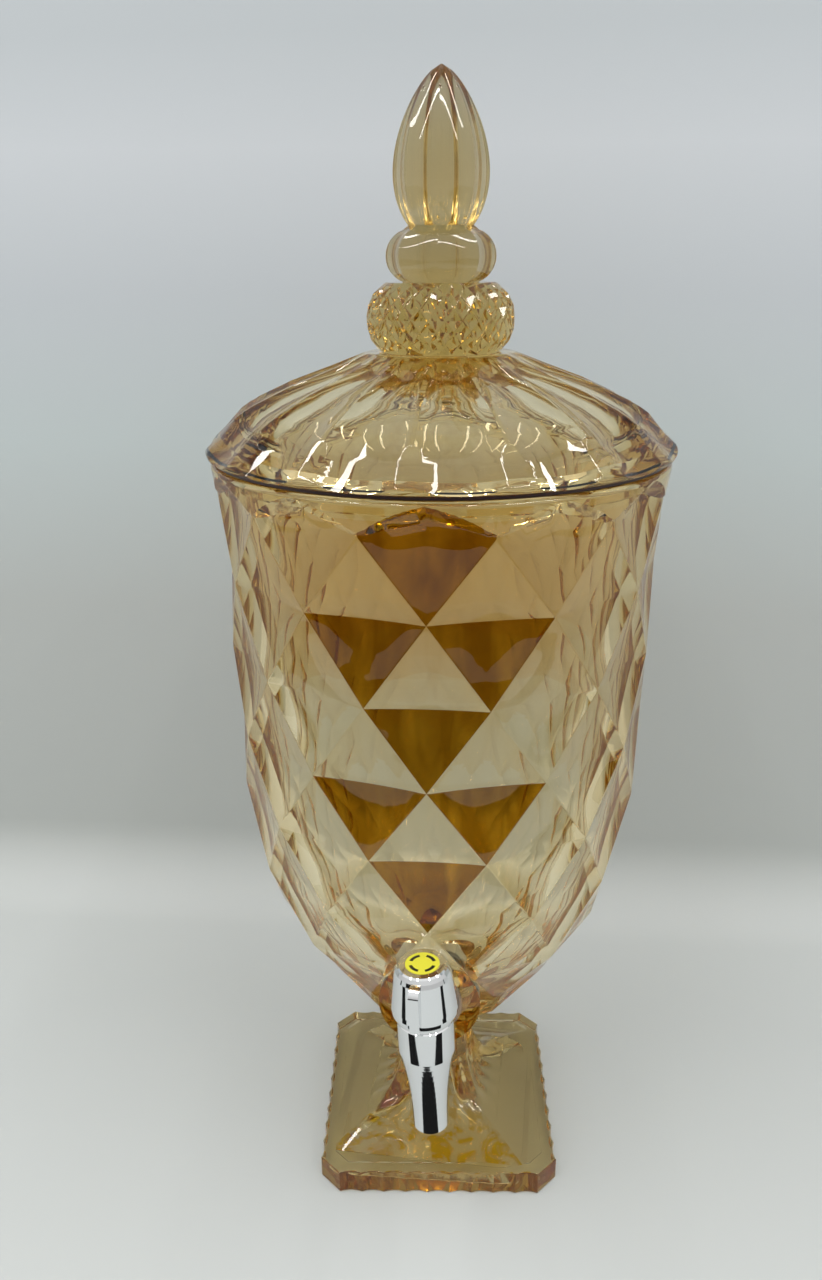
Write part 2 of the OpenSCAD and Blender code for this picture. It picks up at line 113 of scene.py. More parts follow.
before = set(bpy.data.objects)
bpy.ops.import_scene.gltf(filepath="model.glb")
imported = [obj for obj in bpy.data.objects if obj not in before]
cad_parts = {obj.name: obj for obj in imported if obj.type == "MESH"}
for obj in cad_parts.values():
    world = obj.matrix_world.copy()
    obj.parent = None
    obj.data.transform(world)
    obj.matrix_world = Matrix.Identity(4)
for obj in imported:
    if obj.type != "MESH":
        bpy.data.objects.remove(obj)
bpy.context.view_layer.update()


# ---- Settings ----


def colour(name, description, default):
    """A setting that holds a colour."""
    return FloatVectorProperty(
        name=name, description=description, default=default, subtype="COLOR", min=0.0, max=1.0
    )


def fraction(name, description, default):
    """A setting between none and all."""
    return FloatProperty(name=name, description=description, default=default, min=0.0, max=1.0)


def millimetres(name, description, default):
    """A setting that holds a small length in millimetres."""
    return FloatProperty(name=name, description=description + ", in millimetres", default=default)


def degrees(name, description, default):
    """A setting that holds an angle in degrees."""
    return FloatProperty(name=name, description=description + ", in degrees", default=default)


def number_of(name, description, default, least):
    """A setting that counts like things."""
    return IntProperty(name=name, description=description, default=default, min=least)


class UrnGlassSettings(bpy.types.PropertyGroup):
    """Colour and surface of the glass"""

    passed: colour(
        "Passed colour", "What the glass lets through over one absorption length",
        (0.85, 0.705, 0.25),
    )
    passed_solid: colour(
        "Passed by the finial", "The same for the solid finial", (0.79, 0.655, 0.17)
    )
    density: FloatProperty(
        name="Density", description="Absorption per metre of glass", default=40.0, min=0.0
    )
    ior: FloatProperty(name="IOR", description="Refractive index", default=1.5, min=1.0, max=2.0)
    clear: colour("Clear tint", "Surface tint of plain glass", (0.985, 0.942, 0.81))
    # The deep tint and its streaks are painted shade: on the bowl's front facets that point down
    # they stand in for the deep amber seen through them. The bud takes a share of them.
    deep: colour(
        "Deep tint", "Tint of the facets at the front that point down", (0.135, 0.030, 0.00002)
    )
    streak: colour("Streaks", "Tint of the lighter streaks in those facets", (0.30, 0.09, 0.0003))
    # The gold is painted shade on the front of the foot and under the bowl's rim
    gold: colour("Gold", "Tint of the patches and the glow", (0.85, 0.50, 0.004))
    # Where the painted deep shade goes on the bowl
    deep_from: FloatProperty(
        name="Deep from", description="Height at which the deep facets start", default=0.176,
        subtype="DISTANCE", unit="LENGTH",
    )
    deep_reach: degrees("Deep facets", "Half-width of the field of deep facets", 22.0)
    # Strength and reach of the painted golden shade under the rim and on the sides
    glow: fraction("Glow", "Share of gold under the rim", 0.6)
    side_glow: fraction("Side glow", "Share of gold on the bowl's sides", 0.35)
    glow_reach: degrees("Glow reach", "Half-width of the golden field", 70.0)
    waves: millimetres("Waves", "Height of the pressed glass's waves", 0.6)

    diamonds: number_of("Diamonds", "Diamonds in each row around the bowl", 12, 4)
    scallop: millimetres("Scallop", "Height of the top row's scallops", 7.0)
    scoop: millimetres("Scoop", "Depth of each facet's hollow", 0.9)
    valley: millimetres("Valley", "Extra depth of the level creases", 1.2)
    ridge: millimetres("Ridge", "Rounding of the facets' edges", 0.5)

    panels: number_of("Panels", "Panels on the lid", 16, 4)
    lid_turn: degrees("Lid turn", "Clockwise turn of the lid", 3.7)
    lid_ridge: millimetres("Lid ridge", "Rounding of the lid's ridges", 1.1)
    dish: millimetres("Dish", "Hollow of each panel of the lid", 2.0)

    bud_panels: number_of("Bud panels", "Upright panels around the bud", 8, 4)
    bud_tint: fraction("Bud tint", "Share of the deep tint on the bud and the collar", 0.26)
    ball_diamonds: number_of("Ball diamonds", "Small diamonds around the ball", 28, 6)
    ball_rows: number_of("Ball rows", "Bands of small diamonds on the ball", 6, 4)
    pyramid: millimetres("Diamond depth", "Depth of each small diamond", 1.5)

    foot_turn: degrees("Foot turn", "Anticlockwise turn of the foot", 3.5)
    scallops: number_of("Scallops", "Scallops along each side of the slab", 9, 1)
    scallop_sink: millimetres("Scallop depth", "Depth of the slab's scallops", 1.1)


class UrnTapSettings(bpy.types.PropertyGroup):
    """Colours of the tap's parts"""

    chrome: colour("Chrome", "Colour of the plating", (0.80, 0.81, 0.82))
    label: colour("Label", "Ground colour of the round label", (0.72, 0.68, 0.05))


class UrnStageSettings(bpy.types.PropertyGroup):
    """Camera and light"""

    lens: FloatProperty(
        name="Lens", description="Focal length", default=29.475, subtype="DISTANCE_CAMERA"
    )
    wall_y: FloatProperty(
        name="Wall", description="Distance of the backdrop", default=0.205, unit="LENGTH"
    )
    sky: FloatProperty(name="Sky", description="Strength of the sky", default=0.94, min=0.0)
    camera_at: FloatVectorProperty(
        name="Camera",
        description="Where the camera stands",
        default=(0.02342, -0.45542, 0.44283),
        subtype="TRANSLATION",
        unit="LENGTH",
    )
    camera_ahead: FloatVectorProperty(
        name="View direction",
        description="Direction in which the camera looks",
        default=(-0.07520, 0.93461, -0.34764),
        subtype="DIRECTION",
    )
    camera_up: FloatVectorProperty(
        name="Up direction",
        description="Direction of the picture's upper side",
        default=(-0.02151, 0.34702, 0.93761),
        subtype="DIRECTION",
    )


# ---- Materials ----


def new_material(name):
    """An empty node material with its output, as (material, nodes, links, output)."""
    material = bpy.data.materials.new(name)
    material.use_nodes = True
    tree = material.node_tree
    tree.nodes.clear()
    output = tree.nodes.new("ShaderNodeOutputMaterial")
    return material, tree.nodes, tree.links, output


def feed(links, sockets, values):
    """Feeds sockets from other sockets or with plain values; None leaves one as it is."""
    for socket, value in zip(sockets, values):
        if isinstance(value, bpy.types.NodeSocket):
            links.new(value, socket)
        elif value is not None:
            socket.default_value = value


def maths(nodes, links, operation, first, second=None, third=None):
    """A math node; gives its result."""
    node = nodes.new("ShaderNodeMath")
    node.operation = operation
    feed(links, node.inputs, (first, second, third))
    return node.outputs["Value"]


def mixed(nodes, links, factor, first, second):
    """A mix of two colours; gives its result."""
    node = nodes.new("ShaderNodeMix")
    node.data_type = "RGBA"
    feed(links, [node.inputs[name] for name in ("Factor", "A", "B")], (factor, first, second))
    return node.outputs["Result"]


def noise(nodes, links, place, scale, detail, distortion=0.0):
    """A noise over a place; gives its value."""
    node = nodes.new("ShaderNodeTexNoise")
    node.inputs["Scale"].default_value = scale
    node.inputs["Detail"].default_value = detail
    node.inputs["Distortion"].default_value = distortion
    links.new(place, node.inputs["Vector"])
    return node.outputs["Fac"]


def ranged(nodes, links, value, source, target=(0.0, 1.0), interpolation="LINEAR"):
    """A value moved from one range to another and kept inside it; gives its result."""
    node = nodes.new("ShaderNodeMapRange")
    node.interpolation_type = interpolation
    names = ("Value", "From Min", "From Max", "To Min", "To Max")
    feed(links, [node.inputs[name] for name in names], (value, *source, *target))
    return node.outputs["Result"]


def set_ramp(ramp, shades):
    """Fills a colour ramp with positions and colours, which come in rising order."""
    steps = ramp.color_ramp.elements
    steps[0].position = shades[0][0]
    steps[1].position = shades[1][0]
    for position, shade in shades[2:]:
        steps.new(position)
    for step, (position, shade) in zip(steps, shades):
        step.color = (*shade, 1)


def marked(nodes, name):
    """The value that a mesh's attribute holds."""
    node = nodes.new("ShaderNodeAttribute")
    node.attribute_name = name
    return node.outputs["Fac"]


def bumped(nodes, links, surface, height, depth):
    """Makes a surface uneven by a height field of a depth in millimetres."""
    node = nodes.new("ShaderNodeBump")
    node.inputs["Strength"].default_value = 1.0
    node.inputs["Distance"].default_value = depth * MM
    links.new(height, node.inputs["Height"])
    links.new(node.outputs["Normal"], surface.inputs["Normal"])


def deep_tint(nodes, links, settings, place):
    """The deep tint, with lighter streaks that run down the facets. On the bowl it is painted
    shade that stands in for the deep amber seen through the front facets.
    """
    stretch = nodes.new("ShaderNodeMapping")
    stretch.inputs["Scale"].default_value = STREAK_SCALE
    links.new(place, stretch.inputs["Vector"])
    streaks = noise(nodes, links, stretch.outputs["Vector"], 1.0, 2.0, 0.6)
    amount = ranged(nodes, links, streaks, STREAK_SPAN)
    return mixed(nodes, links, amount, (*settings.deep, 1), (*settings.streak, 1))


def clear_tint(nodes, links, settings, place):
    """The clear tint, which is golden in patches and where the glow mark says so. That gold is
    painted shade.
    """
    blots = noise(nodes, links, place, PATCH_SCALE, 4.0, 2.5)
    edge = ranged(nodes, links, blots, PATCH_SPAN, interpolation="SMOOTHSTEP")
    patches = maths(nodes, links, "MULTIPLY", marked(nodes, PATCH_MARK), edge)
    amount = maths(nodes, links, "MAXIMUM", patches, marked(nodes, GLOW_MARK))
    return mixed(nodes, links, amount, (*settings.clear, 1), (*settings.gold, 1))


def glass_material(settings, name, passed):
    """Clear pressed glass whose colour deepens with the length of the way through it. Marked
    faces carry a deep or a golden tint, which on the bowl and the foot are painted shade, and low
    waves are left by the press."""
    material, nodes, links, output = new_material(name)
    surface = nodes.new("ShaderNodeBsdfPrincipled")
    surface.inputs["Roughness"].default_value = 0.0
    surface.inputs["IOR"].default_value = settings.ior
    surface.inputs["Transmission Weight"].default_value = 1.0
    volume = nodes.new("ShaderNodeVolumeAbsorption")
    volume.inputs["Color"].default_value = (*passed, 1)
    volume.inputs["Density"].default_value = settings.density
    place = nodes.new("ShaderNodeTexCoord").outputs["Object"]
    clear = clear_tint(nodes, links, settings, place)
    deep = deep_tint(nodes, links, settings, place)
    tint = mixed(nodes, links, marked(nodes, DEEP_MARK), clear, deep)
    links.new(tint, surface.inputs["Base Color"])
    waves = noise(nodes, links, place, WAVE_SCALE, 1.0)
    bumped(nodes, links, surface, waves, settings.waves)
    links.new(surface.outputs["BSDF"], output.inputs["Surface"])
    links.new(volume.outputs["Volume"], output.inputs["Volume"])
    return material


def amber_glass(settings):
    """The glass of the bowl, the foot and the lid, made once."""
    name = "pressed_amber_glass"
    return bpy.data.materials.get(name) or glass_material(settings, name, settings.passed)


def grainy(nodes, links, surface, scale, roughness, depth):
    """Gives a surface fine grain: its roughness varies a little and its skin is uneven. The
    depth is in millimetres. Gives the place and the grain."""
    place = nodes.new("ShaderNodeTexCoord").outputs["Object"]
    grain = noise(nodes, links, place, scale, 4.0)
    varied = ranged(nodes, links, grain, (0.0, 1.0), (roughness * 0.8, roughness * 1.25))
    links.new(varied, surface.inputs["Roughness"])
    bumped(nodes, links, surface, grain, depth)
    return place, grain


def chrome_material(settings):
    """Plating over moulded plastic: bright, with a trace of the mould's waviness."""
    material, nodes, links, output = new_material("chrome_plate")
    surface = nodes.new("ShaderNodeBsdfPrincipled")
    surface.inputs["Base Color"].default_value = (*settings.chrome, 1)
    surface.inputs["Metallic"].default_value = 1.0
    grainy(nodes, links, surface, 60.0, 0.05, 0.012)
    links.new(surface.outputs["BSDF"], output.inputs["Surface"])
    return material


def moulded_material(name, colour, roughness, depth, passes=0.0):
    """Moulded plastic or rubber whose colour varies a little; it may let light through."""
    material, nodes, links, output = new_material(name)
    surface = nodes.new("ShaderNodeBsdfPrincipled")
    surface.inputs["Transmission Weight"].default_value = passes
    grain = grainy(nodes, links, surface, 220.0, roughness, depth)[1]
    darker = (*[channel * 0.85 for channel in colour], 1)
    links.new(mixed(nodes, links, grain, darker, (*colour, 1)), surface.inputs["Base Color"])
    links.new(surface.outputs["BSDF"], output.inputs["Surface"])
    return material


def label_material(settings):
    """Printed disc: a ring of four black strokes on yellow."""
    low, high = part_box("knob_label")
    middle = (low + high) / 2
    radius = (high.x - low.x) / 2
    material, nodes, links, output = new_material("printed_label")
    surface = nodes.new("ShaderNodeBsdfPrincipled")
    place = grainy(nodes, links, surface, 400.0, 0.35, 0.01)[0]
    centre = nodes.new("ShaderNodeMapping")
    centre.inputs["Location"].default_value = -middle / radius
    centre.inputs["Scale"].default_value = (1 / radius,) * 3
    split = nodes.new("ShaderNodeSeparateXYZ")
    links.new(place, centre.inputs["Vector"])
    links.new(centre.outputs["Vector"], split.inputs["Vector"])
    x, y = split.outputs["X"], split.outputs["Y"]
    square = maths(nodes, links, "ADD", maths(nodes, links, "MULTIPLY", x, x),
                   maths(nodes, links, "MULTIPLY", y, y))
    out = maths(nodes, links, "SQRT", square)
    ring = maths(nodes, links, "COMPARE", out, STROKE_RING, STROKE_HALF)
    angle = maths(nodes, links, "ARCTAN2", y, x)
    quarter = maths(nodes, links, "PINGPONG", angle, math.pi / 4)
    stroke = maths(nodes, links, "GREATER_THAN", quarter, STROKE_FROM)
    ink = maths(nodes, links, "MULTIPLY", ring, stroke)
    links.new(mixed(nodes, links, ink, (*settings.label, 1), STROKE_INK),
              surface.inputs["Base Color"])
    links.new(surface.outputs["BSDF"], output.inputs["Surface"])
    return material


def dress(node, material):
    """Gives a CAD node one material."""
    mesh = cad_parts[node].data
    mesh.materials.clear()
    mesh.materials.append(material)


# ---- Shapes ----

# Steps around turned forms and around holes
ROUND_STEPS = 128
HOLE_STEPS = 96


def turned(points):
    """A closed solid turned about Z. The points are (radius, height) in millimetres and the
    first and last lie on the axis."""
    form = bmesh.new()
    verts = [form.verts.new((radius * MM, 0, height * MM)) for radius, height in points]
    edges = [form.edges.new(pair) for pair in zip(verts, verts[1:])]
    bmesh.ops.spin(
        form,
        geom=verts + edges,
        cent=(0, 0, 0),
        axis=(0, 0, 1),
        angle=math.tau,
        steps=ROUND_STEPS,
        use_merge=True,
    )
    bmesh.ops.remove_doubles(form, verts=form.verts, dist=1e-6)
    bmesh.ops.recalc_face_normals(form, faces=form.faces)
    return form


def upright(radius, low, high, base=0):
    """An upright cylinder on the axis between two heights above a base, in millimetres."""
    low, high = base + low, base + high
    return turned([(0, low), (radius, low), (radius, high), (0, high)])


def drilled(radius, from_y, to_y, height):
    """A cylinder along Y, in millimetres."""
    form = bmesh.new()
    middle = Matrix.Translation((0, (from_y + to_y) / 2 * MM, height * MM))
    bmesh.ops.create_cone(
        form,
        cap_ends=True,
        segments=HOLE_STEPS,
        radius1=radius * MM,
        radius2=radius * MM,
        depth=(to_y - from_y) * MM,
        matrix=middle @ Matrix.Rotation(math.pi / 2, 4, "X"),
    )
    return form


def turn_about(form, verts, angle):
    """Turns points about Z by an angle in radians."""
    turn = Matrix.Rotation(angle, 3, "Z")
    bmesh.ops.rotate(form, verts=verts, cent=(0, 0, 0), matrix=turn)


def outward(point):
    """The level direction from the axis to a point."""
    return Vector((point.x, point.y, 0)).normalized()


def azimuth_of(point):
    """Angle of a point about Z, from the front towards +X."""
    return math.atan2(point.x, -point.y)


def points_of(parts):
    """The points among the parts that a bmesh operator gives back."""
    return [part for part in parts if isinstance(part, bmesh.types.BMVert)]


def faces_with(form, corners):
    """The faces that have so many corners."""
    return [face for face in form.faces if len(face.verts) == corners]


def grow_ring(form, edges):
    """Extrudes a ring of edges; gives the new points and edges, which still lie on the old."""
    grown = bmesh.ops.extrude_edge_only(form, edges=edges)["geom"]
    return points_of(grown), [part for part in grown if isinstance(part, bmesh.types.BMEdge)]


def place_ring(verts, height, radius_at):
    """Puts a ring's points at a height, each at the radius that its azimuth gives."""
    for vert in verts:
        angle = azimuth_of(vert.co)
        radius = radius_at(angle) * MM
        vert.co = (radius * math.sin(angle), -radius * math.cos(angle), height * MM)


def close_up(form):
    """Fills what is open and turns all faces outwards."""
    bmesh.ops.holes_fill(form, edges=[e for e in form.edges if e.is_boundary], sides=0)
    bmesh.ops.recalc_face_normals(form, faces=form.faces)


def ring_stack(count, rows, turn=0.0):
    """A closed solid through level rings of equal point counts. Each row is its height and a
    function that gives the radius at an azimuth, both in millimetres."""
    form = bmesh.new()
    start = Matrix.Rotation(math.radians(turn), 4, "Z")
    bmesh.ops.create_circle(form, cap_ends=True, segments=count, radius=1.0, matrix=start)
    place_ring(form.verts, *rows[0])
    edges = form.edges[:]
    for row in rows[1:]:
        verts, edges = grow_ring(form, edges)
        place_ring(verts, *row)
    close_up(form)
    return form


def split_into_triangles(form):
    """Splits the four-sided faces along their shorter diagonals."""
    bmesh.ops.triangulate(form, faces=faces_with(form, 4), quad_method="SHORT_EDGE")


def rounded(form, edges, width, segments):
    """Rounds edges by a width in millimetres."""
    bmesh.ops.bevel(
        form, geom=edges, offset=width * MM, offset_type="OFFSET", segments=segments,
        profile=0.5, affect="EDGES", material=-1, clamp_overlap=True,
    )


def round_ridges(form, width, least, most):
    """Rounds the edges that turn by more than one angle and less than another, in degrees."""
    ridges = [
        e for e in form.edges
        if len(e.link_faces) == 2
        and math.radians(least) < e.calc_face_angle(0) < math.radians(most)
    ]
    rounded(form, ridges, width, 3)


def add_object(name, form):
    """Puts a bmesh into the scene as an object and frees it."""
    mesh = bpy.data.meshes.new(name)
    form.to_mesh(mesh)
    form.free()
    thing = bpy.data.objects.new(name, mesh)
    bpy.context.scene.collection.objects.link(thing)
    return thing


def bake_modifiers(thing):
    """Replaces an object's mesh by what its modifiers make of it."""
    bpy.context.view_layer.update()
    shown = thing.evaluated_get(bpy.context.evaluated_depsgraph_get())
    mesh = bpy.data.meshes.new_from_object(shown)
    if not mesh.polygons:
        raise RuntimeError(f"{thing.name} has no faces left")
    old = thing.data
    thing.modifiers.clear()
    thing.data = mesh
    bpy.data.meshes.remove(old)


def combine(thing, form, operation):
    """Joins a bmesh to an object, or cuts the object with it."""
    tool = add_object("tool", form)
    modifier = thing.modifiers.new("combine", "BOOLEAN")
    modifier.operation = operation
    modifier.solver = "EXACT"
    modifier.object = tool
    bake_modifiers(thing)
    mesh = tool.data
    bpy.data.objects.remove(tool)
    bpy.data.meshes.remove(mesh)


def smooth_over(thing, angle):
    """Shades an object smooth, apart from edges sharper than an angle in degrees."""
    thing.data.shade_smooth()
    thing.data.set_sharp_from_angle(angle=math.radians(angle))


def weigh_normals(thing):
    """Lets the large faces set the shading, so that only the narrow ones look rounded."""
    modifier = thing.modifiers.new("weigh", "WEIGHTED_NORMAL")
    modifier.mode = "FACE_AREA"
    modifier.weight = 90
    modifier.keep_sharp = True
    bake_modifiers(thing)


def stand_for(thing, body, slot, *nodes):
    """Makes an object ride on a body and stand for CAD nodes."""
    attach(thing, body)
    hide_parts(*nodes)


# ---- Bowl ----

# Heights of the lattice rows and how far their points lie inside the rim's radius
ROW_Z = (86.5, 113, 142, 175.6, 210.2, 244.3, 278.7, 314.2, 346.8)
ROW_IN = (59.1, 40.6, 21.1, 10.6, 6, 4.6, 4.2, 3.4, 2.1)
RIM_Z = 361
RIM_ROUND = 2.4
BAND_IN = 1.7
# The lattice's hem: how far it reaches past the rim's radius and above the highest row
HEM_OUT = 21.4
HEM_RISE = 34
# Facet edges that turn less than this, in degrees, stay unrounded
FLAT_EDGE = 3.2
# Cuts in each edge of a facet or a panel, which give it enough points to be hollowed
FACET_CUTS = 7
# Inside of the bowl: its radius at the rim, how much narrower it gets, its floor and its top
CAVITY_RADIUS = 88.5
CAVITY_DRAFT = 2.8
CAVITY_FLOOR = 98
CAVITY_TOP = RIM_Z + 2
# Turned form that joins the bowl's lowest ring to the foot's neck
UNDERSIDE = ((0, 80), (20, 80), (36, 89), (36, 91), (0, 91))
# Radius, front and back along Y, and height of the round boss for the tap
BOSS = (22.5, -76, -40, 130)
# The same for the nut's pocket, the shank's hole and the spot face in front of the boss
TAP_HOLES = ((19.5, -64, -38, 133), (8.25, -78, -60, 133), (15.4, -84, -76, 133))


def lattice_rings(form, count, radii, heights):
    """The bowl's rings, each turned by half a diamond and joined by triangles; gives the top
    ring's edges."""
    half_pitch = math.pi / count
    start = Matrix.Translation((0, 0, heights[0])) @ Matrix.Rotation(half_pitch, 4, "Z")
    bmesh.ops.create_circle(
        form, cap_ends=True, segments=count, radius=radii[0],
        matrix=start @ Matrix.Rotation(math.pi / 2, 4, "Z"),
    )
    edges = form.edges[:]
    for low, high, z_low, z_high in zip(radii, radii[1:], heights, heights[1:]):
        verts, edges = grow_ring(form, edges)
        turn_about(form, verts, half_pitch)
        bmesh.ops.scale(form, verts=verts, vec=(high / low, high / low, 1))
        bmesh.ops.translate(form, verts=verts, vec=(0, 0, z_high - z_low))
    split_into_triangles(form)
    return [e for e in edges if e.is_valid]


def mark_corners(form, corners, settings):
    """Gives each triangle corner coordinates, with the apex at zero, and puts the facets that
    get the painted deep shade into the second material slot."""
    for facet in faces_with(form, 3):
        low, base, high = sorted(v.co.z for v in facet.verts)
        points_down = base - low > high - base
        apex = low if points_down else high
        places = [(1, 0), (0, 1)]
        for loop in facet.loops:
            is_apex = abs(loop.vert.co.z - apex) < 1e-6
            loop[corners].uv = (0, 0) if is_apex else places.pop()
        middle = facet.calc_center_median()
        facet.material_index = int(
            points_down and abs(azimuth_of(middle)) < math.radians(settings.deep_reach)
            and middle.z > settings.deep_from
        )


def scallop_top(form, edges, settings, radii, heights):
    """Raises a point between each two of the top ring, in line with the facets under it."""
    split = bmesh.ops.subdivide_edges(form, edges=edges, cuts=1)["geom_inner"]
    mids = points_of(split)
    chord = radii[-1] * math.cos(math.pi / settings.diamonds)
    slope = (radii[-2] - chord) / (heights[-1] - heights[-2])
    rise = settings.scallop * MM
    factor = (chord - slope * rise) / chord
    bmesh.ops.scale(form, verts=mids, vec=(factor, factor, 1))
    bmesh.ops.translate(form, verts=mids, vec=(0, 0, rise))
    bmesh.ops.triangulate(form, faces=faces_with(form, 4))


def hollow_facets(form, corners, settings):
    """Splits the facets finely, hollows each one and rounds the edges between them. The corner
    coordinates' products reach 1/27 in a facet's middle and 1/4 on its level crease."""
    grid = list({e for f in faces_with(form, 3) for e in f.edges})
    bmesh.ops.subdivide_edges(form, edges=grid, cuts=FACET_CUTS, use_grid_fill=True)
    for vert in form.verts:
        loops = [loop for loop in vert.link_loops if len(loop.face.verts) < 5]
        if not loops or vert.is_boundary:
            continue
        u, v = loops[0][corners].uv
        inside = max(1 - u - v, 0.0)
        sink = (27 * settings.scoop * u * v * inside + 4 * settings.valley * u * v) * MM
        vert.co -= outward(vert.co) * sink
    ridges = [
        e for e in form.edges
        if len(e.link_faces) == 2 and all(len(f.verts) < 5 for f in e.link_faces)
        and e.calc_face_angle(0) > math.radians(FLAT_EDGE)
    ]
    rounded(form, ridges, settings.ridge, 2)


def lattice(settings, rim):
    """The diamond-cut outside of the bowl as a closed solid that opens past the plain rim."""
    radii = [(rim - inset) * MM for inset in ROW_IN]
    heights = [z * MM for z in ROW_Z]
    form = bmesh.new()
    corners = form.loops.layers.uv.new("corners")
    top = lattice_rings(form, settings.diamonds, radii, heights)
    mark_corners(form, corners, settings)
    scallop_top(form, top, settings, radii, heights)
    hollow_facets(form, corners, settings)
    hem = grow_ring(form, [e for e in form.edges if e.is_boundary])[0]
    for vert in hem:
        out = outward(vert.co) * (rim + HEM_OUT) * MM
        vert.co = (out.x, out.y, (ROW_Z[-1] + HEM_RISE) * MM)
    close_up(form)
    return form


def plain_outline(rim):
    """Turned outline that the cut pattern runs out into under the rim."""
    low = ROW_Z[0] - 10
    angles = [math.radians(degrees) for degrees in range(0, 91, 10)]
    rounding = [
        (rim - RIM_ROUND * (1 - math.cos(a)), RIM_Z - RIM_ROUND * (1 - math.sin(a)))
        for a in angles
    ]
    wall = [(0, low), (rim, low), (rim, ROW_Z[-2]), (rim - BAND_IN, ROW_Z[-1])]
    return turned(wall + rounding + [(0, RIM_Z)])


def cavity():
    """The inside of the bowl."""
    steps = [math.sin(math.pi / 2 * i / 40) for i in range(41)]
    wall = [
        ((CAVITY_RADIUS - CAVITY_DRAFT * t) * max(1 - t**5, 0) ** 0.4,
         CAVITY_TOP - (CAVITY_TOP - CAVITY_FLOOR) * t)
        for t in steps
    ]
    return turned([(0, CAVITY_TOP + 1), (CAVITY_RADIUS, CAVITY_TOP + 1)] + wall)


def patch_amount(settings, middle):
    """How strongly a face with this middle carries golden patches, which are painted shade: on
    the front of the foot, fully on the skirt and a little less on the flare."""
    if abs(azimuth_of(middle) + math.radians(settings.foot_turn)) > math.pi / 4:
        return 0.0
    out = math.hypot(middle.x, middle.y) / MM
    for low, high, inner, strength in PATCHES:
        if low < middle.z / MM < high and out > inner:
            return strength
    return 0.0


def glow_amount(settings, rim, middle):
    """How golden a face with this middle is, as painted shade: most at the front, under the
    bowl's rim, and a little round the sides."""
    azimuth = abs(azimuth_of(middle)) / math.radians(settings.glow_reach)
    out = math.hypot(middle.x, middle.y) / MM
    z = middle.z / MM
    if z > GLOW_TOP or out < rim - GLOW_IN:
        return 0.0
    rise = min(max((z - GLOW_FROM) / GLOW_FADE, 0), 1)
    side = min(max(azimuth - 0.5, 0) * 2, 1)
    return max(settings.glow * rise * max(1 - azimuth ** 2, 0), settings.side_glow * side)


def mark_tints(vessel, settings, rim):
    """Gives each face its tints as attributes: the painted deep shade, and the golden patches and
    glow, which are painted shade too. The second material slot, which held the deep facets, is
    dropped."""
    mesh = vessel.data
    deep = mesh.attributes.new(DEEP_MARK, "FLOAT", "FACE")
    patches = mesh.attributes.new(PATCH_MARK, "FLOAT", "FACE")
    glow = mesh.attributes.new(GLOW_MARK, "FLOAT", "FACE")
    for face in mesh.polygons:
        deep.data[face.index].value = face.material_index
        patches.data[face.index].value = patch_amount(settings, face.center)
        glow.data[face.index].value = glow_amount(settings, rim, face.center)
        face.material_index = 0
    mesh.materials.pop(index=1)


# ---- Lid ----

# Rings of the panelled top and points of the plain edge, as insets from the lid's edge and
# heights above its underside
LID_RINGS = ((7.3, 12.5), (18.3, 20), (35.8, 28), (52.8, 34.2))
LID_EDGE = (
    (1.3, 0), (0.3, 0.5), (0, 1.4), (0.1, 2.6), (0.9, 3.9), (2.7, 5.5), (6.3, 8.8),
    (12.3, 15.6), (50.3, 60),
)
LID_TALL = 40.5
CROWN_RADIUS = 31
# How far under the crown the panels' hollows start to fade
DISH_FADE = 6
SKIRT_RADIUS = 86.3
SKIRT_DEEP = 9
# Radii and heights above the lid's underside
LID_INSIDE = (
    (81.3, -10), (81.3, 4), (79, 9), (74, 14.5), (66, 19.5), (54, 24.5), (40, 29), (26, 32.5),
    (14, 34.5), (0, 34.5),
)
# Radius, lowest and highest point above the lid's underside: the thickening under the crown
# and the hole in it that takes the finial's spigot
CROWN_BLOCK = (12.5, 23.3, 36.5)
SPIGOT_HOLE = (8.1, 27.3, 42)
# Width of the seal's bead, and how far its outer corners are cut across and up
SEAL_WIDE = 2.4
SEAL_CHAMFER = (0.5, 0.4)


def panel_dome(settings, low, edge):
    """The lid's panelled top as a closed solid that reaches past its turned edge."""
    past = edge + 6
    rows = [(low - 20, lambda a: past), (low - 0.2, lambda a: past)]
    rows += [(low + z, lambda a, r=edge - inset: r) for inset, z in LID_RINGS]
    rows += [(low + LID_TALL, lambda a: CROWN_RADIUS)]
    form = ring_stack(settings.panels, rows, -settings.lid_turn)
    across = form.loops.layers.uv.new("across")
    quads = [f for f in faces_with(form, 4) if f.calc_center_median().z > low * MM]
    for quad in quads:
        middle = azimuth_of(quad.calc_center_median())
        for loop in quad.loops:
            side = math.remainder(azimuth_of(loop.vert.co) - middle, math.tau)
            loop[across].uv = (float(side > 0), 0)
    edges = list({e for f in quads for e in f.edges})
    bmesh.ops.subdivide_edges(form, edges=edges, cuts=FACET_CUTS, use_grid_fill=True)
    dish_panels(form, across, settings, low)
    round_ridges(form, settings.lid_ridge, 6, 60)
    return form


def dish_panels(form, across, settings, low):
    """Hollows each panel between its ridges, and fades that out just under the crown. The
    product of the share across and the rest reaches 1/4 in the middle."""
    for vert in form.verts:
        loops = [loop for loop in vert.link_loops if len(loop.face.verts) == 4]
        if not loops or vert.co.z <= low * MM:
            continue
        u = loops[0][across].uv.x
        if all(abs(loop[across].uv.x - u) < 1e-4 for loop in loops):
            fade = min((low + LID_TALL - vert.co.z / MM) / DISH_FADE, 1)
            away = outward(vert.co) + Vector((0, 0, 1))
            vert.co -= away * 4 * u * (1 - u) * settings.dish * fade * MM


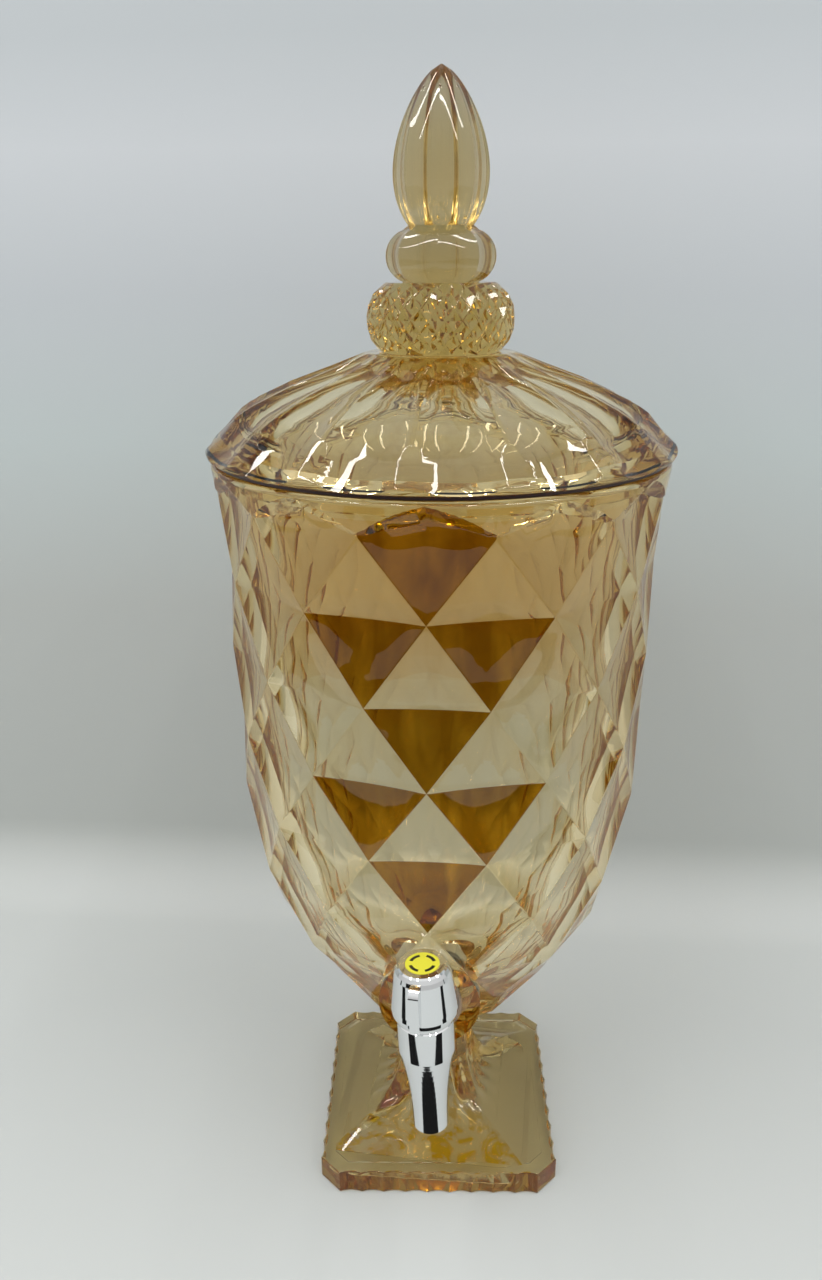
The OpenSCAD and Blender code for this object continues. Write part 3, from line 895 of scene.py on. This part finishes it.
def lid_outline(low, edge):
    """Turned outline of the lid: a skirt that goes into the bowl, and a thick plain edge."""
    skirt = [(0, low - SKIRT_DEEP), (SKIRT_RADIUS, low - SKIRT_DEEP), (SKIRT_RADIUS, low)]
    return turned(skirt + [(edge - inset, low + z) for inset, z in LID_EDGE] + [(0, low + 60)])


def lid_hollow(low):
    """The inside of the lid."""
    return turned([(0, low - 10)] + [(radius, low + z) for radius, z in LID_INSIDE])


# ---- Finial ----

# Radii and heights above the lid's crown, unless a comment says otherwise
BALL_TALL = 27.5
BALL_RADIUS = 31
BALL_MIDDLE = 13
BALL_REACH = 19.2
# How square the ball's outline is, where 2 is an ellipse
BALL_SQUARE = 2.4
# The ball starts this far above the crown, so that the two never share a plane
BALL_GAP = 0.15
NECK_RADIUS = 13.0
NECK_Z = (22.5, 27.6)
COLLAR_MIDDLE = 37.5
COLLAR_CORE = 12.1
COLLAR_ROUND = 10.6
# Start and span in degrees of the arc that is the collar's outline, and its steps
COLLAR_START = 18
COLLAR_SPAN = 144
COLLAR_STEPS = 12
BUD_FROM = 49.2
BUD_TIP = 107.0
BUD_RADIUS = 19.4
# The bud's outline follows half a wave: the share of it under the bud's start, and the powers
# that move its widest place and make it fuller
BUD_START = 0.115
BUD_LEAN = 0.78
BUD_FULL = 0.62
BUD_STEPS = 28
# How hollow the panels are, where 1 is flat
COLLAR_HOLLOW = 1.6
BUD_HOLLOW = 2.1
# Rounding of the ridges on the bud and the ball
BUD_RIDGE = 0.7
BALL_RIDGE = 0.3
# Radius, lowest and highest point of the peg that goes into the lid
SPIGOT = (8, -13, 2)


def panelled(radius, panels, hollow):
    """Radius at an azimuth of a ring with upright panels, flat ones where hollow is 1."""
    step = math.tau / panels

    def radius_at(angle):
        across = math.remainder(angle - step / 2, step)
        side = math.cos(step / 2) / math.cos(across)
        return radius * (1 - hollow + hollow * side)

    return radius_at


def bud_and_collar(settings, crown):
    """The pointed bud and the round collar under it, as one solid."""
    panels = settings.bud_panels
    rows = [(crown + z, lambda a: NECK_RADIUS) for z in NECK_Z]
    for step in range(COLLAR_STEPS + 1):
        angle = math.radians(COLLAR_START + COLLAR_SPAN * step / COLLAR_STEPS)
        radius = COLLAR_CORE + COLLAR_ROUND * math.sin(angle)
        height = crown + COLLAR_MIDDLE - COLLAR_ROUND * math.cos(angle)
        rows.append((height, panelled(radius, panels, COLLAR_HOLLOW)))
    for step in range(BUD_STEPS):
        t = step / BUD_STEPS
        wave = math.pi * (BUD_START + (1 - BUD_START) * t) ** BUD_LEAN
        radius = BUD_RADIUS * math.sin(wave) ** BUD_FULL
        height = crown + BUD_FROM + (BUD_TIP - BUD_FROM) * t
        rows.append((height, panelled(radius, panels, BUD_HOLLOW)))
    rows.append((crown + BUD_TIP, lambda a: 0.5))
    form = ring_stack(panels * 8, rows)
    round_ridges(form, BUD_RIDGE, 14, 70)
    return form


def cut_ball(settings, crown):
    """The flattened ball, cut all over into small hollow pyramids."""
    count = settings.ball_diamonds
    rows = settings.ball_rows
    form = bmesh.new()
    tall = BALL_TALL - BALL_GAP
    levels = [crown + BALL_GAP + tall * row / rows for row in range(rows + 1)]

    def radius(z):
        share = abs(z - crown - BALL_MIDDLE) / BALL_REACH
        return BALL_RADIUS * (1 - share ** BALL_SQUARE) ** (1 / BALL_SQUARE)

    bmesh.ops.create_circle(form, cap_ends=True, segments=count, radius=1.0)
    place_ring(form.verts, levels[0], lambda a: radius(levels[0]))
    edges = form.edges[:]
    for z in levels[1:]:
        verts, edges = grow_ring(form, edges)
        turn_about(form, verts, math.pi / count)
        place_ring(verts, z, lambda a: radius(z))
    split_into_triangles(form)
    level = [
        e for e in form.edges
        if all(len(f.verts) == 3 for f in e.link_faces) and len(e.link_faces) == 2
        and abs(e.verts[0].co.z - e.verts[1].co.z) < 1e-6
    ]
    bmesh.ops.dissolve_edges(form, edges=level)
    close_up(form)
    cells = faces_with(form, 4)
    ridges = list({e for cell in cells for e in cell.edges})
    bmesh.ops.poke(form, faces=cells, offset=-settings.pyramid * MM)
    rounded(form, ridges, BALL_RIDGE, 1)
    return form


def tint_bud(finial, settings, low):
    """Gives the faces above a height a share of the deep tint, as thick glass has, and the
    others none."""
    deep = finial.data.attributes.new(DEEP_MARK, "FLOAT", "FACE")
    for face in finial.data.polygons:
        deep.data[face.index].value = settings.bud_tint if face.center.z > low * MM else 0.0


# ---- Foot ----

# Half-width, height, squareness and flute depth of the foot's flare, from the slab up to the
# neck. The flutes start at the crease that ends the plain skirt.
FLARE = (
    (50.4, 9.6, 40, 0), (50.4, 11.9, 40, 0), (34.2, 20.0, 40, 0), (33.6, 19.9, 40, 1.2),
    (29.7, 22.0, 30, 1.6), (24.2, 25.3, 16, 1.4), (21.6, 30.0, 9, 1.1), (20.0, 36.0, 5, 0.8),
    (18.3, 44.0, 3.4, 0.5), (17.7, 54.0, 2.7, 0.3), (18.3, 66.0, 2.3, 0.1), (20.0, 80.0, 2, 0),
)
# The same for the hollow under the foot
FOOT_HOLLOW = (
    (45, -2, 14, 0), (45, 0.3, 14, 0), (36, 3.4, 12, 0), (27, 7.5, 9, 0), (20.5, 12, 6, 0),
    (15.5, 18, 4, 0), (11.5, 25, 3, 0), (7.5, 33, 2, 0), (3.5, 39, 2, 0), (0.5, 40, 2, 0),
)
FLUTES = 20
SLAB_HALF = 59.4
SLAB_TALL = 12.6
SLAB_CUT = 10.0
SLAB_ROUND = 0.8
BORDER_WIDE = 7.0
BORDER_HIGH = 1.0
BORDER_CUT = 7.0
POINTS_PER_BAY = 6


def square_to_round(half, squareness, turn, depth):
    """Radius at an azimuth of a ring between a square and a circle, with flutes."""

    def radius_at(angle):
        across = angle + math.radians(turn)
        blunt = abs(math.cos(across)) ** squareness + abs(math.sin(across)) ** squareness
        return half / blunt ** (1 / squareness) - depth * (1 - math.cos(FLUTES * across)) / 2

    return radius_at


def foot_form(settings, table):
    """A closed solid through the rows of a table like FLARE."""
    turn = settings.foot_turn
    rows = [(height, square_to_round(half, squareness, turn, depth))
            for half, height, squareness, depth in table]
    return ring_stack(FLUTES * 8, rows, turn)


def cut_square(half, cut, low):
    """A level square with cut corners, at a height."""
    form = bmesh.new()
    turn = Matrix.Rotation(math.radians(22.5), 4, "Z")
    bmesh.ops.create_circle(form, cap_ends=True, segments=8, radius=1.0, matrix=turn)
    for vert in form.verts:
        side = abs(vert.co.x) > abs(vert.co.y)
        x = math.copysign(half if side else half - cut, vert.co.x)
        y = math.copysign(half - cut if side else half, vert.co.y)
        vert.co = (x * MM, y * MM, low * MM)
    return form


def scallop_sides(form, half, cut, bays, sink):
    """Splits the long sides of a cut square and sinks each bay of them in a soft curve."""
    long_side = half - cut
    sides = [e for e in form.edges if e.calc_length() > 2 * cut * MM]
    cuts = bays * POINTS_PER_BAY - 1
    split = bmesh.ops.subdivide_edges(form, edges=sides, cuts=cuts)["geom_inner"]
    for vert in points_of(split):
        along_x = abs(vert.co.x) < abs(vert.co.y)
        along = (vert.co.x if along_x else vert.co.y) / MM
        share = (along + long_side) / (2 * long_side) * bays % 1
        shrink = 1 - sink * 4 * share * (1 - share) / half
        if along_x:
            vert.co.y *= shrink
        else:
            vert.co.x *= shrink


def raise_block(form, tall):
    """Extrudes a flat outline upwards into a block."""
    grown = bmesh.ops.extrude_face_region(form, geom=form.faces[:])["geom"]
    bmesh.ops.translate(form, verts=points_of(grown), vec=(0, 0, tall * MM))
    bmesh.ops.recalc_face_normals(form, faces=form.faces)


def slab(settings):
    """Square slab with cut corners and a scalloped edge."""
    form = cut_square(SLAB_HALF, SLAB_CUT, 0)
    scallop_sides(form, SLAB_HALF, SLAB_CUT, settings.scallops, settings.scallop_sink)
    raise_block(form, SLAB_TALL)
    rims = [e for e in form.edges if abs(e.verts[0].co.z - e.verts[1].co.z) < 1e-6]
    rounded(form, rims, SLAB_ROUND, 3)
    turn_about(form, form.verts, math.radians(settings.foot_turn))
    return form


def slab_recess(settings):
    """What is cut from the slab's top inside its border."""
    form = cut_square(SLAB_HALF - BORDER_WIDE, BORDER_CUT, SLAB_TALL - BORDER_HIGH)
    raise_block(form, 4)
    turn_about(form, form.verts, math.radians(settings.foot_turn))
    return form


def foot_solid(settings):
    """The whole foot, as a bmesh."""
    foot = add_object("foot_form", slab(settings))
    combine(foot, slab_recess(settings), "DIFFERENCE")
    combine(foot, foot_form(settings, FLARE), "UNION")
    combine(foot, foot_form(settings, FOOT_HOLLOW), "DIFFERENCE")
    form = bmesh.new()
    form.from_mesh(foot.data)
    bpy.data.objects.remove(foot)
    return form


# ---- Operators ----


class URN_OT_vessel(bpy.types.Operator):
    """Make the bowl and the foot as one piece of amber glass"""

    bl_idname = "urn.vessel"
    bl_label = "Bowl and foot"

    def execute(self, context):
        settings = context.scene.urn_glass
        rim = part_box("bowl")[1].x / MM
        vessel = add_object("glass_vessel", lattice(settings, rim))
        vessel.data.materials.append(amber_glass(settings))
        vessel.data.materials.append(None)
        combine(vessel, plain_outline(rim), "INTERSECT")
        combine(vessel, turned(UNDERSIDE), "UNION")
        combine(vessel, drilled(*BOSS), "UNION")
        combine(vessel, cavity(), "DIFFERENCE")
        for hole in TAP_HOLES:
            combine(vessel, drilled(*hole), "DIFFERENCE")
        combine(vessel, foot_solid(settings), "UNION")
        mark_tints(vessel, settings, rim)
        smooth_over(vessel, 30)
        weigh_normals(vessel)
        stand_for(vessel, "urn", "amber_glass", "bowl", "foot")
        return {"FINISHED"}


class URN_OT_lid(bpy.types.Operator):
    """Make the panelled glass lid and the narrow seal under its edge"""

    bl_idname = "urn.lid"
    bl_label = "Lid and seal"

    def execute(self, context):
        settings = context.scene.urn_glass
        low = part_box("lid_seal")[1].z / MM
        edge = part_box("lid")[1].x / MM
        lid = add_object("glass_lid", panel_dome(settings, low, edge))
        combine(lid, lid_outline(low, edge), "INTERSECT")
        combine(lid, lid_hollow(low), "DIFFERENCE")
        combine(lid, upright(*CROWN_BLOCK, base=low), "UNION")
        combine(lid, upright(*SPIGOT_HOLE, base=low), "DIFFERENCE")
        lid.data.materials.append(amber_glass(settings))
        smooth_over(lid, 30)
        weigh_normals(lid)
        stand_for(lid, "lid_assembly", "amber_glass", "lid")
        self.add_seal()
        return {"FINISHED"}

    def add_seal(self):
        """A bead that is narrower than the CAD seal, whose whole width would show as a dark
        band through the glass."""
        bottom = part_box("lid_seal")[0].z / MM
        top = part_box("lid_seal")[1].z / MM
        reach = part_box("lid_seal")[1].x / MM
        across, up = SEAL_CHAMFER
        seal = add_object("seal_bead", turned([
            (0, bottom), (reach - across, bottom), (reach, bottom + up),
            (reach, top - up), (reach - across, top), (0, top),
        ]))
        combine(seal, upright(reach - SEAL_WIDE, bottom - 1, top + 1), "DIFFERENCE")
        rubber = moulded_material("dark_red_rubber", (0.022, 0.005, 0.004), 0.35, 0.03)
        seal.data.materials.append(rubber)
        smooth_over(seal, 40)
        stand_for(seal, "lid_assembly", "seal_rubber", "lid_seal")


class URN_OT_finial(bpy.types.Operator):
    """Make the finial: a cut ball, a collar and a bud of solid glass"""

    bl_idname = "urn.finial"
    bl_label = "Finial"

    def execute(self, context):
        settings = context.scene.urn_glass
        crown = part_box("lid_seal")[1].z / MM + LID_TALL
        finial = add_object("glass_finial", cut_ball(settings, crown))
        combine(finial, bud_and_collar(settings, crown), "UNION")
        combine(finial, upright(*SPIGOT, base=crown), "UNION")
        glass = glass_material(settings, "solid_amber_glass", settings.passed_solid)
        finial.data.materials.append(glass)
        tint_bud(finial, settings, crown + BALL_TALL)
        smooth_over(finial, 24)
        weigh_normals(finial)
        stand_for(finial, "lid_assembly", "amber_glass", "finial")
        return {"FINISHED"}


# Node, colour, roughness, unevenness in millimetres, share of light let through
MOULDED = (
    ("tap_flange", (0.82, 0.66, 0.50), 0.16, 0.02, 0.75),
    ("outer_washer", (0.86, 0.84, 0.79), 0.3, 0.02, 0.8),
    ("inner_washer", (0.86, 0.84, 0.79), 0.3, 0.02, 0.8),
    ("lock_nut", (0.80, 0.80, 0.76), 0.35, 0.02, 0.0),
    ("plug_clip", (0.80, 0.80, 0.76), 0.4, 0.02, 0.0),
    ("valve_plug", (0.80, 0.80, 0.76), 0.4, 0.02, 0.0),
    ("plug_o_rings", (0.02, 0.02, 0.02), 0.45, 0.02, 0.0),
)


class URN_OT_tap(bpy.types.Operator):
    """Give the tap and its fittings their finishes"""

    bl_idname = "urn.tap"
    bl_label = "Tap"

    def execute(self, context):
        chrome = chrome_material(context.scene.urn_tap)
        for node in ("tap_body", "knob", "knob_screw"):
            dress(node, chrome)
        dress("knob_label", label_material(context.scene.urn_tap))
        for node, *finish in MOULDED:
            dress(node, moulded_material(node + "_finish", *finish))
        return {"FINISHED"}


class URN_OT_studio(bpy.types.Operator):
    """Add the floor, the backdrop, the lamps and the camera"""

    bl_idname = "urn.studio"
    bl_label = "Studio"

    def execute(self, context):
        scene = context.scene
        scene.view_settings.view_transform = "Standard"
        scene.cycles.max_bounces = GLASS_BOUNCES
        scene.cycles.transmission_bounces = GLASS_BOUNCES
        scene.cycles.glossy_bounces = GLASS_BOUNCES
        self.add_camera(scene)
        self.add_sweep(scene.urn_stage)
        self.add_sky(scene)
        self.add_lamps(scene)
        return {"FINISHED"}

    def add_camera(self, scene):
        """The scene's camera, which stands a little above and looks down."""
        settings = scene.urn_stage
        camera = bpy.data.objects.new("camera", bpy.data.cameras.new("camera"))
        scene.collection.objects.link(camera)
        camera.data.sensor_fit = "AUTO"
        camera.data.sensor_width = 36.0
        camera.data.lens = settings.lens
        camera.data.clip_start = 0.01
        ahead = Vector(settings.camera_ahead).normalized()
        right = ahead.cross(Vector(settings.camera_up).normalized()).normalized()
        turn = Matrix((right, right.cross(ahead), -ahead)).transposed()
        camera.matrix_world = Matrix.Translation(settings.camera_at) @ turn.to_4x4()
        scene.camera = camera

    def add_sweep(self, settings):
        """The floor, which curves up into the backdrop and goes on behind it."""
        left = -SWEEP_WIDTH / 2
        bend_y = settings.wall_y - SWEEP_BEND
        form = bmesh.new()
        front = form.verts.new((left, -FLOOR_REACH, -FLOOR_GAP))
        bend = form.verts.new((left, bend_y, -FLOOR_GAP))
        form.edges.new((front, bend))
        curve = bmesh.ops.spin(
            form, geom=[bend], cent=(left, bend_y, SWEEP_BEND - FLOOR_GAP), axis=(1, 0, 0),
            angle=math.pi / 2, steps=12,
        )["geom_last"]
        top = bmesh.ops.extrude_vert_indiv(form, verts=points_of(curve))["verts"]
        bmesh.ops.translate(form, verts=top, vec=(0, 0, WALL_TALL))
        start = form.verts.new((left, settings.wall_y, -2 * FLOOR_GAP))
        end = form.verts.new((left, FLOOR_REACH, -2 * FLOOR_GAP))
        form.edges.new((start, end))
        right = grow_ring(form, form.edges[:])[0]
        bmesh.ops.translate(form, verts=right, vec=(SWEEP_WIDTH, 0, 0))
        form.normal_update()
        turned_away = [f for f in form.faces if f.normal.z - f.normal.y < 0]
        bmesh.ops.reverse_faces(form, faces=turned_away)
        sweep = add_object("sweep", form)
        sweep.data.shade_smooth()
        sweep.data.materials.append(self.sweep_paint())

    def sweep_paint(self):
        """Pale paint whose shade goes by the height above the floor: painted shade on the
        backdrop.
        """
        material, nodes, links, output = new_material("sweep_paint")
        place = nodes.new("ShaderNodeTexCoord")
        split = nodes.new("ShaderNodeSeparateXYZ")
        ramp = nodes.new("ShaderNodeValToRGB")
        paint = nodes.new("ShaderNodeBsdfDiffuse")
        # Painted shade: the backdrop darker and lighter by height, as the light falls on it
        set_ramp(ramp, SWEEP_SHADES)
        links.new(place.outputs["Object"], split.inputs["Vector"])
        links.new(split.outputs["Z"], ramp.inputs["Fac"])
        # Painted reflection: mirrored rays see a dark floor here
        painted_reflection = self.painted_reflection_share(nodes, links, split.outputs["Y"])
        links.new(mixed(nodes, links, painted_reflection, ramp.outputs["Color"], PAINTED_REFLECTION_SHADE),
                  paint.inputs["Color"])

        # The backdrop doesn't hide the urn from behind
        sight = nodes.new("ShaderNodeNewGeometry")
        clear = nodes.new("ShaderNodeBsdfTransparent")
        side = nodes.new("ShaderNodeMixShader")
        links.new(sight.outputs["Backfacing"], side.inputs["Fac"])
        links.new(paint.outputs["BSDF"], side.inputs[1])
        links.new(clear.outputs["BSDF"], side.inputs[2])
        links.new(side.outputs["Shader"], output.inputs["Surface"])
        return material

    def painted_reflection_share(self, nodes, links, y):
        """Where and how the floor is dark: a painted reflection, a dark gap in front of the urn
        and a dark far end that only polished surfaces mirror and nothing else sees, in place of
        the dark room in front of the urn."""
        gap = maths(nodes, links, "COMPARE", y, PAINTED_REFLECTION_Y, PAINTED_REFLECTION_WIDE / 2)
        far = maths(nodes, links, "LESS_THAN", y, PAINTED_REFLECTION_FAR)
        ray = nodes.new("ShaderNodeLightPath")
        mirrored = maths(
            nodes, links, "MULTIPLY",
            ray.outputs["Is Glossy Ray"], ray.outputs["Is Reflection Ray"],
        )
        return maths(nodes, links, "MULTIPLY", maths(nodes, links, "MAXIMUM", gap, far), mirrored)

    def add_sky(self, scene):
        """A soft sky that is a little darker below the level of the eye."""
        world = bpy.data.worlds.new("studio")
        scene.world = world
        world.use_nodes = True
        nodes, links = world.node_tree.nodes, world.node_tree.links
        back = nodes["Background"]
        place = nodes.new("ShaderNodeTexCoord")
        split = nodes.new("ShaderNodeSeparateXYZ")
        ramp = nodes.new("ShaderNodeValToRGB")
        set_ramp(ramp, SKY_SHADES)
        links.new(place.outputs["Generated"], split.inputs["Vector"])
        links.new(split.outputs["Z"], ramp.inputs["Fac"])
        links.new(ramp.outputs["Color"], back.inputs["Color"])
        back.inputs["Strength"].default_value = scene.urn_stage.sky

    def add_lamps(self, scene):
        """Strip lamps overhead, which draw long highlights on the glass."""
        for name, x, y, z in LAMPS:
            lamp = bpy.data.lights.new(name, "AREA")
            lamp.energy = LAMP_ENERGY
            lamp.shape = "RECTANGLE"
            lamp.size = LAMP_WIDTH
            lamp.size_y = LAMP_LENGTH
            thing = bpy.data.objects.new(name, lamp)
            thing.matrix_world = Matrix.Translation((x, y, z))
            scene.collection.objects.link(thing)


class URN_PT_panel(bpy.types.Panel):
    """The urn's steps in the 3D view's sidebar"""

    bl_idname = "URN_PT_panel"
    bl_label = "Drinks urn"
    bl_space_type = "VIEW_3D"
    bl_region_type = "UI"
    bl_category = "Urn"

    def draw(self, context):
        for step in STEPS:
            self.layout.operator("urn." + step)


STEPS = ("vessel", "lid", "finial", "tap", "studio")
SETTINGS = {
    "urn_glass": UrnGlassSettings,
    "urn_tap": UrnTapSettings,
    "urn_stage": UrnStageSettings,
}
CLASSES = (
    *SETTINGS.values(),
    URN_OT_vessel,
    URN_OT_lid,
    URN_OT_finial,
    URN_OT_tap,
    URN_OT_studio,
    URN_PT_panel,
)


def register():
    for cls in CLASSES:
        bpy.utils.register_class(cls)
    for name, group in SETTINGS.items():
        setattr(bpy.types.Scene, name, PointerProperty(type=group))


def unregister():
    for name in SETTINGS:
        delattr(bpy.types.Scene, name)
    for cls in reversed(CLASSES):
        bpy.utils.unregister_class(cls)


def main():
    """Runs the steps in order."""
    register()
    for step in STEPS:
        getattr(bpy.ops.urn, step)()


if __name__ == "__main__":
    main()
